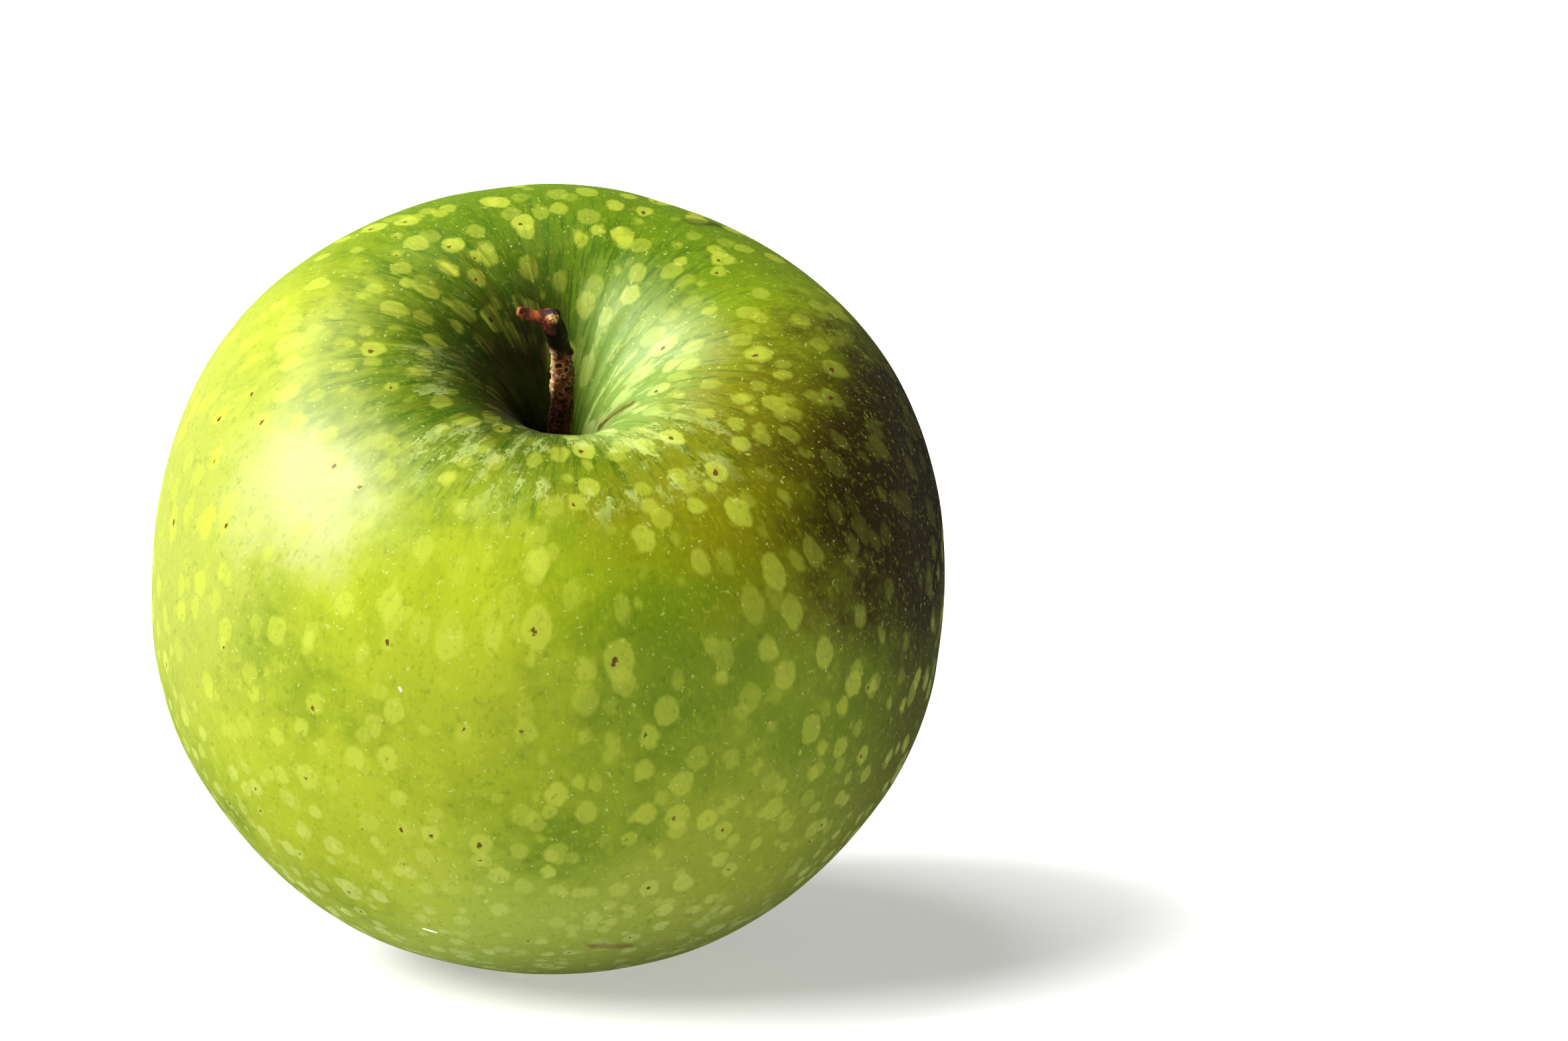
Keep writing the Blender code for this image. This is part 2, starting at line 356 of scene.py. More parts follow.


# Ground colour: apple green, yellower where the fruit faced the light, with a pale patch of
# painted sheen on the lit left cheek; leaf green over the top, darkened there as painted shade;
# olive brown on the right cheek, partly blush and partly painted shade; lighter green below,
# painted light from the floor; and grey green at the lower right, a painted reflection of the
# floor. Each tint is a colour, how strong it is, its middle from the fruit's middle, and where
# it starts and stops fading.
GROUND_TINTS = (
    # Pale green with painted sheen, where the light's highlight spreads over the left cheek.
    (PALE_AND_SHEEN_GREEN, 0.90, (-0.033, -0.016, 0.013), 0.006, 0.032),
    (YELLOW_GREEN, 0.65, (-0.012, -0.036, 0.003), 0.004, 0.020),
    # Leaf green over the top, darker there as painted shade.
    (LEAF_GREEN, 0.95, (0.004, 0.004, 0.038), 0.012, 0.034),
    (SUNNED_YELLOW, 0.92, (0.017, -0.029, 0.018), 0.009, 0.022),
    # Lighter green under the belly: painted light from the floor below.
    (BOUNCE_LIT_GREEN, 0.95, (0.000, -0.022, -0.032), 0.009, 0.025),
    # Yellower green at the lower left: painted light from the floor below.
    (YELLOW_GREEN, 0.50, (-0.022, -0.027, -0.016), 0.006, 0.020),
    # Grey green at the lower right: a painted reflection of the floor.
    (FLOOR_SHEEN_GREEN, 0.60, (0.020, -0.022, -0.024), 0.008, 0.030),
    # Dark brown at the right edge: partly blush, partly painted shade.
    (BLUSH_AND_SHADE_BROWN, 0.70, (0.037, -0.013, -0.002), 0.010, 0.029),
)
leafy = rind_finish.fade(clouds + mottle * 0.5, 0.62, 0.95) * 0.7
ground = rind_finish.blend(leafy, APPLE_GREEN, LEAF_GREEN)
for colour, strength, centre, inner, outer in GROUND_TINTS:
    ground = rind_finish.blend(patch(centre, inner, outer) * strength, ground, colour)
# A whitish patch where the light's highlight falls on the left cheek: a painted highlight.
painted_highlight = patch((-0.023, -0.030, 0.017), 0.002, 0.013)
ground = rind_finish.blend(painted_highlight * 0.85, ground, PAINTED_HIGHLIGHT_PALE)
# The right cheek turns near black olive: partly blush, partly painted shade.
blush_and_shade = patch((0.035, -0.017, 0.012), 0.009, 0.026)
ground = rind_finish.blend(blush_and_shade * 0.97, ground, BLUSH_AND_SHADE_OLIVE)
# Spots fade on the shaded right cheek and under the painted highlight.
spot_strength = (1 - blush_and_shade * 0.75) * (1 - painted_highlight * 0.75)
by_cavity = patch((-0.020, -0.020, 0.028), 0.004, 0.016)
ground = rind_finish.blend(by_cavity * 0.6, ground, YELLOW_GREEN)

# Dark green lines run out of the cavity over the crest, and its right wall, which faces the
# light, is painted pale: painted light, with pale streaks and spots on it.
line_room = rind_finish.stretch(streak_room, (1.0, 1.0, 0.20))
lines = rind_finish.cloud(line_room, 30, 2.0, 0.55)
near_crest = rind_finish.fade(from_stalk + streaks * 0.024, 0.052, 0.030)
leafy_side = rind_finish.fade(grown_side, 0.018, -0.002)
ground = rind_finish.blend(near_crest * leafy_side * 0.88, ground, LEAF_GREEN)
radial = rind_finish.fade(lines + streaks * 0.4 - grown_side * 5, 0.64, 0.84)
ground = rind_finish.blend(near_crest * radial * 0.92, ground, DEEP_GREEN)
# The cavity's right wall, which faces the light, is painted pale: painted light.
lit_right_wall = rind_finish.fade(from_stalk, 0.026, 0.016) * rind_finish.fade(grown_side, 0.0, 0.004)
ground = rind_finish.blend(lit_right_wall * (streaks * 0.6 + 0.35), ground, LIT_WALL_GREEN)


def spots(room, offset, size, spread):
    """Scattered ovals: how far inside one a point is, its tone, and how far its pore is."""
    wobble = rind_finish.scale_vector(rind_finish.cloud(room, 3.1, 2.0, 0.5, 1), 0.22)
    place = rind_finish.add_vectors(rind_finish.add_vectors(room, wobble), offset)
    sockets = {"Vector": place, "Scale": 1.0, "Randomness": 0.8}
    away = rind_finish.node("TexVoronoi", {}, sockets, "Distance")
    lot = rind_finish.node("TexVoronoi", {}, sockets, "Color")
    seat = rind_finish.node("TexVoronoi", {}, sockets, "Position")
    beside = rind_finish.add_vectors(place, rind_finish.scale_vector(lot, 0.10))
    pore = rind_finish.distance(beside, seat)
    share = rind_finish.node("SeparateColor", {}, {0: lot}, 0)
    tone = rind_finish.node("SeparateColor", {}, {0: lot}, 1)
    return share * spread + size - away, tone, pore


# Pale breathing spots, each an oval with a soft edge, and many with a brown pore in it.
inside_first, tone_first, pore_first = spots(spot_room, (0.0, 0.0, 0.0), 0.26, 0.12)
inside_second, tone_second, _ = spots(spot_room, (3.7, 9.2, 5.1), 0.21, 0.13)
inside_third, tone_third, pore_third = spots(spot_room, (8.1, 2.6, 7.7), 0.15, 0.13)
first_spots = rind_finish.fade(inside_first, -0.04, 0.06)
second_spots = rind_finish.fade(inside_second, -0.04, 0.06)
third_spots = rind_finish.fade(inside_third, -0.05, 0.07)
first_share = first_spots * (tone_first * 0.42 + 0.30) * spot_strength
second_share = second_spots * (tone_second * 0.40 + 0.24) * spot_strength
third_share = third_spots * (tone_third * 0.38 + 0.22) * spot_strength
lower = rind_finish.fade(from_stalk, 0.062, 0.090)
spot_colour = rind_finish.blend(lit_right_wall, PALE_SPOT, PALE_FLECK)
spot_colour = rind_finish.blend(lower, spot_colour, FROSTED_SPOT)
coloured = rind_finish.blend(first_share, ground, spot_colour)
coloured = rind_finish.blend(second_share, coloured, spot_colour)
coloured = rind_finish.blend(third_share, coloured, spot_colour)
spot = first_spots.larger(second_spots)
pore_edge = rind_finish.cloud(grown, 1900, 3.0, 0.65) * 0.20
first_pores = rind_finish.fade(pore_first + pore_edge, 0.185, 0.155)
first_pores = first_pores * rind_finish.fade(tone_first, 0.45, 0.50)
third_pores = rind_finish.fade(pore_third + pore_edge, 0.165, 0.140)
third_pores = third_pores * rind_finish.fade(tone_third, 0.55, 0.60)
pores = first_pores.larger(third_pores)

# Fine pale stipple and short dashes down the fruit, and crackled flecks round the crest.
fine = rind_finish.cloud(grown, 1300, 3.0, 0.6)
dash_room = rind_finish.stretch(streak_room, (1.0, 1.0, 0.42))
dashes = rind_finish.cloud(dash_room, 95, 2.0, 0.55)
coloured = rind_finish.blend(rind_finish.fade(fine, 0.56, 0.76) * 0.24, coloured, PALE_GRAIN)
coloured = rind_finish.blend(rind_finish.fade(fine, 0.44, 0.26) * 0.25, coloured, DEEP_GREEN)
coloured = rind_finish.blend(rind_finish.fade(dashes, 0.57, 0.74) * 0.30, coloured, PALE_GRAIN)
coloured = rind_finish.blend(rind_finish.fade(dashes, 0.43, 0.28) * 0.25, coloured, LEAF_GREEN)
specks = rind_finish.fade(rind_finish.cloud(grown, 2100, 1.0, 0.5), 0.70, 0.74)
coloured = rind_finish.blend(specks * 0.45, coloured, PALE_FLECK)
crackle_wobble = rind_finish.scale_vector(rind_finish.cloud(streak_room, 30, 3.0, 0.6, 1), 0.10)
wobbled_room = rind_finish.add_vectors(streak_room, crackle_wobble)
crackle_room = rind_finish.stretch(wobbled_room, (1.0, 1.0, 2.4))
cells = {"feature": "DISTANCE_TO_EDGE"}
crackle = rind_finish.node("TexVoronoi", cells, {"Vector": crackle_room, "Scale": 13.0})
crackle_patches = rind_finish.cloud(grown, 150, 2.0, 0.5)
on_crest = rind_finish.fade(from_stalk, 0.036, 0.029) * rind_finish.fade(from_stalk, 0.017, 0.021)
facing = patch((-0.001, -0.028, 0.023), 0.010, 0.019)
flecks = rind_finish.fade(crackle, 0.12, 0.03) * rind_finish.fade(crackle_patches, 0.46, 0.60)
torn_room = rind_finish.stretch(wobbled_room, (1.0, 1.0, 0.5))
torn = rind_finish.fade(rind_finish.cloud(torn_room, 15, 3.0, 0.62), 0.53, 0.57)
torn = torn * rind_finish.fade(crackle_patches, 0.40, 0.52)
wall_streaks = rind_finish.fade(rind_finish.cloud(torn_room, 10, 1.0, 0.4), 0.54, 0.61)
coloured = rind_finish.blend(wall_streaks * lit_right_wall * 0.45, coloured, PALE_FLECK)
flecks = (flecks * 0.5).larger(torn) * on_crest * (facing * 0.9 + 0.04)
coloured = rind_finish.blend(flecks * 0.52, coloured, PALE_FLECK)
coloured = rind_finish.blend(pores * 0.9, coloured, PORE_BROWN)

# The cavity is painted near black down its left wall and round the stalk's foot, where shade
# falls: painted shade, with brown streaks in it. The basin turns russet.
basin_place = from_stalk + mottle * 0.002
in_basin = rind_finish.fade(basin_place, skin_length - 0.009, skin_length - 0.002)
coloured = rind_finish.blend(in_basin * 0.75, coloured, BASIN_RUSSET)
# The left wall of the cavity and the stalk's foot, where shade falls, are painted near black:
# painted shade.
shaded_left_wall = rind_finish.fade(grown_side + streaks * 0.006, 0.006, 0.000)
shaded_down_cavity = rind_finish.fade(from_stalk + lines * 0.022, 0.042, 0.024) * shaded_left_wall
shaded_foot = rind_finish.fade(from_stalk + streaks * 0.006, 0.010, 0.005)
coloured = rind_finish.blend(shaded_down_cavity.larger(shaded_foot) * 0.94, coloured, SHADE_AND_SMUDGE_BROWN)
russet = rind_finish.fade(fine_streaks, 0.56, 0.68) * shaded_down_cavity
coloured = rind_finish.blend(russet * 0.5, coloured, PORE_BROWN)


def scratch(start, end, inner, outer):
    """1 within inner metres of a line on the fruit as it grew, fading to 0 at outer."""
    start = Vector(start)
    along = Vector(end) - start
    from_start = rind_finish.add_vectors(grown, -start)
    dot_sockets = {0: from_start, 1: along.normalized()}
    travelled = rind_finish.node("VectorMath", {"operation": "DOT_PRODUCT"}, dot_sockets, "Value")
    reached_sockets = {"Value": travelled, "Min": 0.0, "Max": along.length}
    reached = rind_finish.node("Clamp", {}, reached_sockets)
    aside = rind_finish.scale_vector(-along.normalized(), reached)
    aside = rind_finish.add_vectors(from_start, aside)
    away = rind_finish.node("VectorMath", {"operation": "LENGTH"}, {0: aside}, "Value")
    return rind_finish.fade(away + fine * 0.0005 - 0.00025, outer, inner)


# Marks of its own: two russet cracks on the right of the cavity, a scar under the belly, a
# smudge behind the shoulder and two small chips in the wax. Each is a colour, how strong it
# is, its two ends, and where it starts and stops fading.
MARKS = (
    (SCAR_BROWN, 0.85, (0.0036, 0.0001, 0.0236), (0.0066, -0.0017, 0.0287), 0.00016, 0.00050),
    (PORE_BROWN, 0.80, (0.0046, -0.0016, 0.0250), (0.0062, -0.0032, 0.0283), 0.00008, 0.00034),
    (SCAR_BROWN, 0.55, (0.0060, -0.0380, -0.0091), (0.0093, -0.0370, -0.0100), 0.00020, 0.00110),
    (SHADE_AND_SMUDGE_BROWN, 0.60, (0.0120, 0.0222, 0.0320), (0.0146, 0.0232, 0.0310), 0.00030, 0.00150),
    (CHIP_WHITE, 0.90, (-0.0104, -0.0374, -0.0085), (-0.0092, -0.0378, -0.0086), 0.00008, 0.00030),
    (CHIP_WHITE, 0.90, (-0.0136, -0.0334, 0.0208), (-0.0135, -0.0334, 0.0206), 0.00004, 0.00022),
)
for colour, strength, start, end, inner, outer in MARKS:
    mark = scratch(start, end, inner, outer)
    coloured = rind_finish.blend(mark * strength, coloured, colour)

# Spots and grain take a little off the gloss, and more of it goes towards the outline.
edge_on = rind_finish.node("LayerWeight", {}, {"Blend": 0.5}, "Facing")
gloss_lost = rind_finish.fade(edge_on, 0.55, 0.95)
rind_finish.give(
    Base_Color=coloured,
    Roughness=spot * 0.05 + fine * 0.14 + gloss_lost * 0.40 + 0.27,
    Normal=rind_finish.bump(0.5, 0.00008, fine * 0.35 + spot * 0.30 + mottle * 0.3),
    IOR=1.45,
    Specular_IOR_Level=0.20,
    Specular_Tint=(1.0, 1.0, 0.80),
)
skin_mesh.materials.append(rind_finish.material)
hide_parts("fruit")
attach(skin, "root")

# Stalk. A short woody stalk, thick at its foot, that bends over at a pruned head with a stub
# of spur on one side. Two closed twigs are grown ring by ring, melted into one skin, and
# roughened with ridges, flakes and scabs of bark.
STALK_RADIUS = 0.00112
STALK_FOOT_RADIUS = 0.00150
STALK_RISE = 0.0217
STALK_SWAY = 0.0019
STUB_DROP = 0.0006
STUB_REACH = 0.0031
STUB_LIFT = 0.0005
BARK_VOXEL = 0.00008
RIDGE_DEPTH = 0.00006
SCAB_DEPTH = 0.00006
COARSE_DEPTH = 0.00014
FLAKE_DEPTH = 0.00022
FLAKED_SHARE = 0.84
TWIG_SIDES = 28
stalk_top = CAVITY_FLOOR_HEIGHT + STALK_RISE
stub_height = stalk_top - STUB_DROP
shaft_route = [
    (0.0, CAVITY_FLOOR_HEIGHT - 0.0010, STALK_FOOT_RADIUS),
    (0.0, CAVITY_FLOOR_HEIGHT + 0.0004, STALK_FOOT_RADIUS * 0.98),
    (-0.0001, CAVITY_FLOOR_HEIGHT + 0.16 * STALK_RISE, STALK_RADIUS * 1.04),
    (-0.0002, CAVITY_FLOOR_HEIGHT + 0.32 * STALK_RISE, STALK_RADIUS * 1.02),
    (-0.0002, CAVITY_FLOOR_HEIGHT + 0.62 * STALK_RISE, STALK_RADIUS * 1.00),
    (-0.0009, CAVITY_FLOOR_HEIGHT + 0.84 * STALK_RISE, STALK_RADIUS * 0.86),
    (-0.0016, CAVITY_FLOOR_HEIGHT + 0.94 * STALK_RISE, STALK_RADIUS * 0.98),
    (-0.0019, stalk_top - 0.0003, STALK_RADIUS * 0.96),
    (-0.0020, stalk_top, STALK_RADIUS * 0.55),
]
spur_route = [
    (-STALK_SWAY + 0.0006, stub_height - 0.00025, 0.00080),
    (-STALK_SWAY - 0.0008, stub_height - 0.0001, 0.00078),
    (-STALK_SWAY - 0.5 * STUB_REACH, stub_height, 0.00062),
    (-STALK_SWAY - 0.8 * STUB_REACH, stub_height + 0.6 * STUB_LIFT, 0.00056),
    (-STALK_SWAY - STUB_REACH, stub_height + STUB_LIFT, 0.00044),
]


def grow_twig(bm, route, rings):
    """A closed round twig on a smooth curve through the route, extruded ring by ring."""
    points = [Vector((x, 0, z)) for x, z, _ in route]
    spans = [math.dist(a, b) for a, b in zip(points, points[1:])]
    stations = []
    for ring in range(rings + 1):
        left = sum(spans) * ring / rings
        span = 0
        while span < len(spans) - 1 and left > spans[span]:
            left -= spans[span]
            span += 1
        share = min(1.0, left / spans[span])
        before = points[max(span - 1, 0)]
        after = points[min(span + 2, len(points) - 1)]
        start, end = points[span], points[span + 1]
        into, out = (end - before) / 2, (after - start) / 2
        place = (
            start * (2 * share**3 - 3 * share**2 + 1)
            + into * (share**3 - 2 * share**2 + share)
            + end * (3 * share**2 - 2 * share**3)
            + out * (share**3 - share**2)
        )
        radius = route[span][2] + (route[span + 1][2] - route[span][2]) * share
        stations.append((place, radius))
    made = []
    ring_verts = bmesh.ops.create_circle(bm, cap_ends=True, segments=TWIG_SIDES, radius=1)["verts"]
    rim = [edge for edge in bm.edges if all(vert in ring_verts for vert in edge.verts)]
    shapes = [vert.co.copy() for vert in ring_verts]
    for index, (place, radius) in enumerate(stations):
        if index:
            grown_ring = bmesh.ops.extrude_edge_only(bm, edges=rim)["geom"]
            ring_verts = [item for item in grown_ring if isinstance(item, bmesh.types.BMVert)]
            rim = [item for item in grown_ring if isinstance(item, bmesh.types.BMEdge)]
            rim = [edge for edge in rim if all(vert in ring_verts for vert in edge.verts)]
        next_place = stations[min(index + 1, rings)][0]
        last_place = stations[max(index - 1, 0)][0]
        turn = Vector((0, 0, 1)).rotation_difference(next_place - last_place)
        for vert, shape in zip(ring_verts, shapes):
            vert.co = place + turn @ (shape * radius)
        made += ring_verts
    bmesh.ops.contextual_create(bm, geom=rim)
    bmesh.ops.recalc_face_normals(bm, faces=bm.faces)
    return made


def melt(bm, name, voxel, rounds):
    """Melts the closed shapes in bm into one skin and smooths it: its object and new bmesh."""
    rough_mesh = bpy.data.meshes.new(name + "_rough")
    bm.to_mesh(rough_mesh)
    bm.free()
    piece = bpy.data.objects.new(name, rough_mesh)
    bpy.context.scene.collection.objects.link(piece)
    remesh = piece.modifiers.new("melt", "REMESH")
    remesh.mode = "VOXEL"
    remesh.voxel_size = voxel
    graph = bpy.context.evaluated_depsgraph_get()
    piece.data = bpy.data.meshes.new_from_object(piece.evaluated_get(graph))
    piece.modifiers.clear()
    piece.data.name = name
    bpy.data.meshes.remove(rough_mesh)
    melted = bmesh.new()
    melted.from_mesh(piece.data)
    for _ in range(rounds):
        bmesh.ops.smooth_vert(
            melted,
            verts=melted.verts,
            factor=0.5,
            use_axis_x=True,
            use_axis_y=True,
            use_axis_z=True,
        )
    melted.normal_update()
    return piece, melted


bark = bmesh.new()
grow_twig(bark, shaft_route, 90)
grow_twig(bark, spur_route, 24)
stalk, bark = melt(bark, "bark", BARK_VOXEL, 6)
bark_layer = bark.verts.layers.float_vector.new("as_grown")
KNOB = Vector((0.0006, -0.0002, CAVITY_FLOOR_HEIGHT + 0.79 * STALK_RISE))
SPUR_HOLE = Vector((-STALK_SWAY - 0.80 * STUB_REACH, -0.0004, stub_height + STUB_LIFT + 0.0004))
CUT_LUMP = Vector((-0.0018, -0.0001, stalk_top + 0.0004))
LEAF_SCAR = Vector((-0.0016, -0.0008, stalk_top + 0.0002))

# Each lump or hole is its middle, how far it spreads and how far it rises.
LUMPS = ((KNOB, 0.00045, 0.00040), (CUT_LUMP, 0.00050, 0.00030), (SPUR_HOLE, 0.00026, -0.00036))
moves = []
for vert in bark.verts:
    place = vert.co
    climb = (place.z - CAVITY_FLOOR_HEIGHT) / STALK_RISE
    ridge = noise.noise(Vector((place.x * 2200, place.y * 2200, place.z * 260)))
    scab = noise.noise(place * 1500)
    coarse = noise.noise(Vector((place.x * 700, place.y * 700, place.z * 500)))
    flake = max(0.0, noise.noise(place * 2600) - 0.12) if climb < FLAKED_SHARE else 0.0
    push = RIDGE_DEPTH * ridge + SCAB_DEPTH * scab + COARSE_DEPTH * coarse + FLAKE_DEPTH * flake
    for centre, spread, rise in LUMPS:
        push += rise * math.exp(-(((place - centre).length / spread) ** 2))
    moves.append(vert.normal * push)
for vert, move in zip(bark.verts, moves):
    vert.co += move
    vert[bark_layer] = vert.co
bmesh.ops.transform(bark, matrix=lay_down, verts=bark.verts)
bark.to_mesh(stalk.data)
bark.free()
stalk.data.shade_smooth()

BLACK_BARK = (0.0050, 0.0018, 0.0012)
DARK_BARK = (0.014, 0.0045, 0.003)
RED_BARK = (0.120, 0.029, 0.011)
PALE_BARK = (0.46, 0.30, 0.13)
ORANGE_WOOD = (0.220, 0.046, 0.009)
CREAM_SCAR = (0.50, 0.31, 0.11)
CUT_BLACK_AND_SHEEN = (0.008, 0.009, 0.015)

bark_finish = Finish("stalk_bark")
bark_place = bark_finish.attribute("as_grown")
bark_side = bark_finish.part(bark_place, 0)
climb = (bark_finish.part(bark_place, 2) - CAVITY_FLOOR_HEIGHT) / STALK_RISE
scabs = bark_finish.cloud(bark_place, 1300, 4.0, 0.65)
patches = bark_finish.cloud(bark_place, 500, 3.0, 0.6)
grain = bark_finish.cloud(bark_finish.stretch(bark_place, (1.0, 1.0, 0.16)), 2600, 3.0, 0.6)


def bark_mark(centre, inner, outer):
    """1 within inner metres of a point on the stalk as it grew, fading to 0 at outer."""
    away = bark_finish.distance(bark_place, centre)
    return bark_finish.fade(away + scabs * 0.0012 - 0.0006, outer, inner)


# Red brown bark on the lower shaft and black bark above it, both pitted; pale flaked bark down
# the edge that faces the light, paler there as painted light; an orange spur, a cream leaf scar,
# and a cut on the head, black with a blue tint that is a painted reflection.
red = bark_finish.fade(scabs + patches * 0.5, 0.68, 0.88)
shaft_red = bark_finish.fade(climb, 0.86, 0.79) * (bark_finish.fade(climb, 0.40, 0.62) * 0.5 + 0.5)
bark_colour = bark_finish.blend(red * shaft_red, DARK_BARK, RED_BARK)
black_band = bark_finish.fade(climb + scabs * 0.03, 0.805, 0.855)
bark_colour = bark_finish.blend(black_band * 0.9, bark_colour, BLACK_BARK)
pit_sockets = {"Vector": bark_place, "Scale": 1150.0}
from_pit = bark_finish.node("TexVoronoi", {}, pit_sockets, "Distance") + scabs * 0.3
pits = bark_finish.fade(from_pit, 0.52, 0.40) * bark_finish.fade(climb, 0.87, 0.80)
bark_colour = bark_finish.blend(pits * 0.9, bark_colour, BLACK_BARK)
pit_rims = bark_finish.fade(from_pit, 0.50, 0.56) * bark_finish.fade(from_pit, 0.66, 0.58)
pit_rims = pit_rims * bark_finish.fade(climb, 0.50, 0.62) * bark_finish.fade(climb, 0.85, 0.79)
pit_rims = pit_rims * bark_finish.fade(patches, 0.42, 0.58)
bark_colour = bark_finish.blend(pit_rims * 0.50, bark_colour, PALE_BARK)
# Pale flaked bark down the left edge, which faces the light, paler there as painted light.
flaked_and_lit_edge = bark_finish.fade(bark_side + scabs * 0.0014, -0.0002, -0.0007)
flaked_and_lit_edge = flaked_and_lit_edge * bark_finish.fade(climb, 0.50, 0.60) * bark_finish.fade(climb, 0.83, 0.79)
bark_colour = bark_finish.blend(flaked_and_lit_edge * 0.85, bark_colour, PALE_BARK)
on_head = bark_finish.fade(climb, 0.90, 0.93) * bark_finish.fade(bark_side, -0.0010, -0.0018)
orange = bark_finish.fade(scabs + patches * 0.5, 0.74, 0.92) * on_head
bark_colour = bark_finish.blend(on_head * 0.35, bark_colour, RED_BARK)
bark_colour = bark_finish.blend(orange, bark_colour, ORANGE_WOOD)
scar_share = bark_mark(LEAF_SCAR, 0.0003, 0.0009) * bark_finish.fade(grain, 0.40, 0.56)
bark_colour = bark_finish.blend(scar_share, bark_colour, CREAM_SCAR)
spur_tip = Vector((-STALK_SWAY - STUB_REACH - 0.0003, 0.0, stub_height + STUB_LIFT + 0.0003))
bark_colour = bark_finish.blend(bark_mark(spur_tip, 0.0003, 0.0007), bark_colour, PALE_BARK)
bark_colour = bark_finish.blend(bark_mark(SPUR_HOLE, 0.0002, 0.0005), bark_colour, BLACK_BARK)
# The cut is black with a blue tint, a painted reflection.
bark_colour = bark_finish.blend(bark_mark(CUT_LUMP, 0.0004, 0.0007), bark_colour, CUT_BLACK_AND_SHEEN)
bark_finish.give(
    Base_Color=bark_colour,
    Roughness=grain * 0.35 + 0.45,
    Specular_IOR_Level=0.10,
    Normal=bark_finish.bump(0.7, 0.0001, grain + scabs),
)
stalk.data.materials.append(bark_finish.material)
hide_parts("stalk")
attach(stalk, "root")

# Sepals. Five dried sepals stand in a ring round the calyx and curl out at their tips: thin,
# brittle brown leaves with grey down on them, grown from the fruit. Each is one sheet that is
# narrowed, bowed and crinkled, then thickened and turned to its place.
CALYX_RADIUS = 0.0046
CALYX_GAP = 0.0003
SEPALS = 5
SEPAL_LENGTH = 0.0056
SEPAL_WIDTH = 0.0034
SEPAL_TIP_WIDTH = 0.0004
SEPAL_INWARD = 0.0012
SEPAL_CURL = 0.0022
SEPAL_SHEET = 0.00028
SEPAL_SUNK = 0.00025
SEPAL_CUPPING = 0.00030
SEPAL_CRINKLE = 0.00022
SEPAL_RIB = 0.00012
SEPAL_RIB_SHARE = 0.16
SEPAL_RAGGED = 0.14
DRY_BROWN = (0.120, 0.060, 0.024)
BURNT_BROWN = (0.030, 0.012, 0.006)
GREEN_FOOT = (0.110, 0.120, 0.030)
GREY_DOWN = (0.420, 0.370, 0.270)

sepal_finish = Finish("downy_sepal")
leaf = sepal_finish.attribute("leaf_place")
leaf_along = sepal_finish.part(leaf, 1)
leaf_mottle = sepal_finish.cloud(leaf, 3.0, 4.0, 0.65)
veins = sepal_finish.cloud(sepal_finish.stretch(leaf, (5.0, 0.8, 1.0)), 2.0, 3.0, 0.6)
down = sepal_finish.cloud(sepal_finish.stretch(leaf, (16.0, 5.0, 1.0)), 2.6, 4.0, 0.7)
dry_share = sepal_finish.fade(leaf_mottle, 0.40, 0.66)
sepal_colour = sepal_finish.blend(dry_share, BURNT_BROWN, DRY_BROWN)
vein_share = sepal_finish.fade(veins, 0.56, 0.40) * 0.6
sepal_colour = sepal_finish.blend(vein_share, sepal_colour, BURNT_BROWN)
green_share = sepal_finish.fade(leaf_along + leaf_mottle * 0.3, 0.50, 0.15) * 0.7
sepal_colour = sepal_finish.blend(green_share, sepal_colour, GREEN_FOOT)
down_share = sepal_finish.fade(down, 0.50, 0.70) * sepal_finish.fade(leaf_along, 0.98, 0.60)
sepal_colour = sepal_finish.blend(down_share * 0.75, sepal_colour, GREY_DOWN)
sepal_finish.give(
    Base_Color=sepal_colour,
    Roughness=down * 0.25 + 0.70,
    Specular_IOR_Level=0.25,
    Normal=sepal_finish.bump(0.8, 0.0001, veins + down * 0.5),
)

